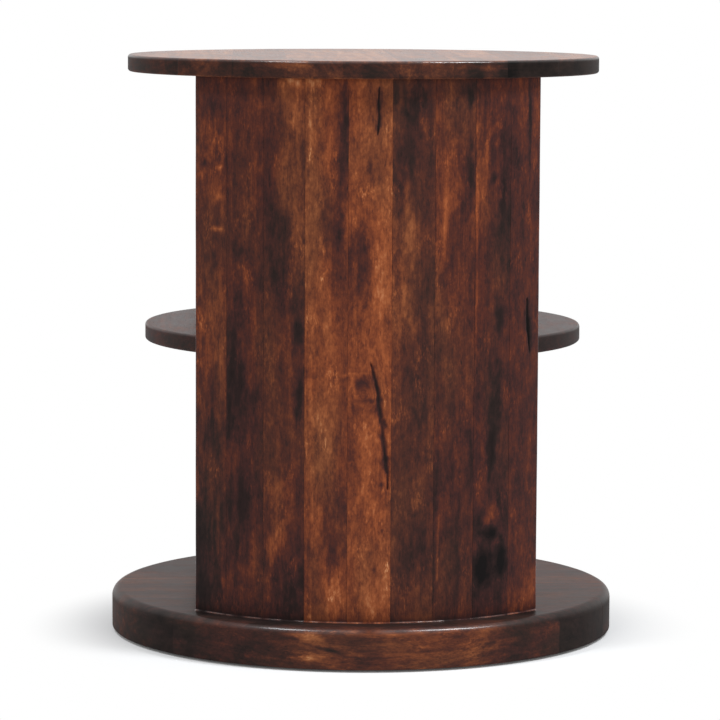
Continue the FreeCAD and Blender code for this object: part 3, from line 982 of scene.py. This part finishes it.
def felt_material():
    """Dark brown pressed felt with matted fibres."""
    material, tree, shader = shaded_material("pad_felt")
    matted = object_noise(tree, (1400, 1400, 1400), 4)
    colours = ((0.25, "241a15"), (0.75, "43332a"))
    tree.links.new(colour_ramp(tree, maths(tree, "ADD", matted, 0.5), colours), shader.inputs["Base Color"])
    bump = add(tree, "Bump", {"Strength": 0.6, "Distance": 0.0004, "Height": matted})
    tree.links.new(bump.outputs[0], shader.inputs["Normal"])
    shader.inputs["Roughness"].default_value = 0.95
    shader.inputs["Sheen Weight"].default_value = 0.3
    return material


def repaint(node, material):
    """Gives a CAD node that stays in view its finished material."""
    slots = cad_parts[node].data.materials
    slots.clear()
    slots.append(material)


# Stage, light and camera

def seen_directly(tree):
    """1 for rays from the camera and for reflections, 0 for light that bounces about."""
    path = add(tree, "LightPath").outputs
    seen = maths(tree, "MAXIMUM", path["Is Camera Ray"], path["Is Glossy Ray"])
    return maths(tree, "MAXIMUM", seen, path["Is Transmission Ray"])


def make_floor():
    """A pale floor that takes the table's shadow and turns to plain white away from the table."""
    half = FLOOR_HALF
    corners = [(-half, -half, 0), (half, -half, 0), (half, half, 0), (-half, half, 0)]
    mesh = bpy.data.meshes.new("floor")
    mesh.from_pydata(corners, [], [(0, 1, 2, 3)])
    floor = bpy.data.objects.new("floor", mesh)
    bpy.context.scene.collection.objects.link(floor)
    material = bpy.data.materials.new("floor_white")
    material.use_nodes = True
    tree = material.node_tree
    tree.nodes.clear()
    place = add(tree, "TexCoord").outputs["Object"]
    away = add(tree, "VectorMath", {0: place}, operation="LENGTH").outputs["Value"]
    near, clear = SHADOW_REACH
    far = add(tree, "MapRange", {0: away, 1: near, 2: clear, 3: 0.0, 4: 1.0}, interpolation_type="SMOOTHSTEP")
    share = maths(tree, "MULTIPLY", far.outputs[0], seen_directly(tree))
    pale = add(tree, "BsdfDiffuse", {"Color": (0.95, 0.95, 0.95, 1)})
    white = add(tree, "Emission", {"Color": (1, 1, 1, 1), "Strength": 1.0})
    both = add(tree, "MixShader", {0: share, 1: pale.outputs[0], 2: white.outputs[0]})
    tree.links.new(both.outputs[0], add(tree, "OutputMaterial").inputs["Surface"])
    mesh.materials.append(material)


def make_world():
    """White where the camera and reflections look, and a softer white as fill light."""
    world = bpy.data.worlds.new("studio")
    bpy.context.scene.world = world
    world.use_nodes = True
    tree = world.node_tree
    background = tree.nodes["Background"]
    background.inputs["Color"].default_value = (1, 1, 1, 1)
    strength = remap(tree, seen_directly(tree), 0.0, 1.0, FILL_LIGHT, 1.0)
    tree.links.new(strength, background.inputs["Strength"])


def make_softbox(name, place, aim, size, watts, colour):
    """A rectangular lamp that faces its aim."""
    light = bpy.data.lights.new(name, "AREA")
    light.shape = "RECTANGLE"
    light.size, light.size_y = size
    light.energy = watts
    light.color = colour
    lamp = bpy.data.objects.new(name, light)
    bpy.context.scene.collection.objects.link(lamp)
    lamp.location = place
    lamp.rotation_euler = (Vector(aim) - Vector(place)).to_track_quat("-Z", "Y").to_euler()


def make_camera():
    """Stands at the photograph's distance and height, a little to the left of the panel's middle."""
    data = bpy.data.cameras.new("photo_camera")
    data.sensor_width = 36.0
    data.lens = CAMERA_FOCAL / PHOTO_WIDTH * data.sensor_width
    data.clip_end = 100.0
    camera = bpy.data.objects.new("photo_camera", data)
    bpy.context.scene.collection.objects.link(camera)
    turn = Matrix.Rotation(math.radians(CAMERA_AZIMUTH), 4, "Z")
    stand = Matrix.Translation((CAMERA_SIDE, -CAMERA_DISTANCE, CAMERA_HEIGHT))
    pitch = Matrix.Rotation(math.radians(90 - CAMERA_PITCH), 4, "X")
    roll = Matrix.Rotation(math.radians(CAMERA_ROLL), 4, "Z")
    camera.matrix_world = turn @ stand @ pitch @ roll
    bpy.context.scene.camera = camera


def main():
    """Builds the wood, finishes the fittings, and sets the stage, the light and the camera."""
    grain = stained_grain_group()
    woods = {name: wood_material(f"{name}_chestnut", grain, **look) for name, look in WOODS.items()}
    make_panels(woods["panel"])
    # The base gets painted shade in the corner at the panels' feet.
    make_round(BASE, woods["base"], painted_corner_shade)
    make_round(TOP, woods["top"])
    make_shelf(woods["shelf"])
    dowel_wood = dowel_material()
    for node in ("base_dowels", "shelf_dowels", "top_dowels"):
        repaint(node, dowel_wood)
    repaint("base_screws", screw_material())
    repaint("floor_pads", felt_material())

    make_floor()
    make_world()
    for name, settings in LAMPS.items():
        make_softbox(name, *settings)
    make_camera()
    bpy.context.scene.view_settings.view_transform = "Standard"


main()
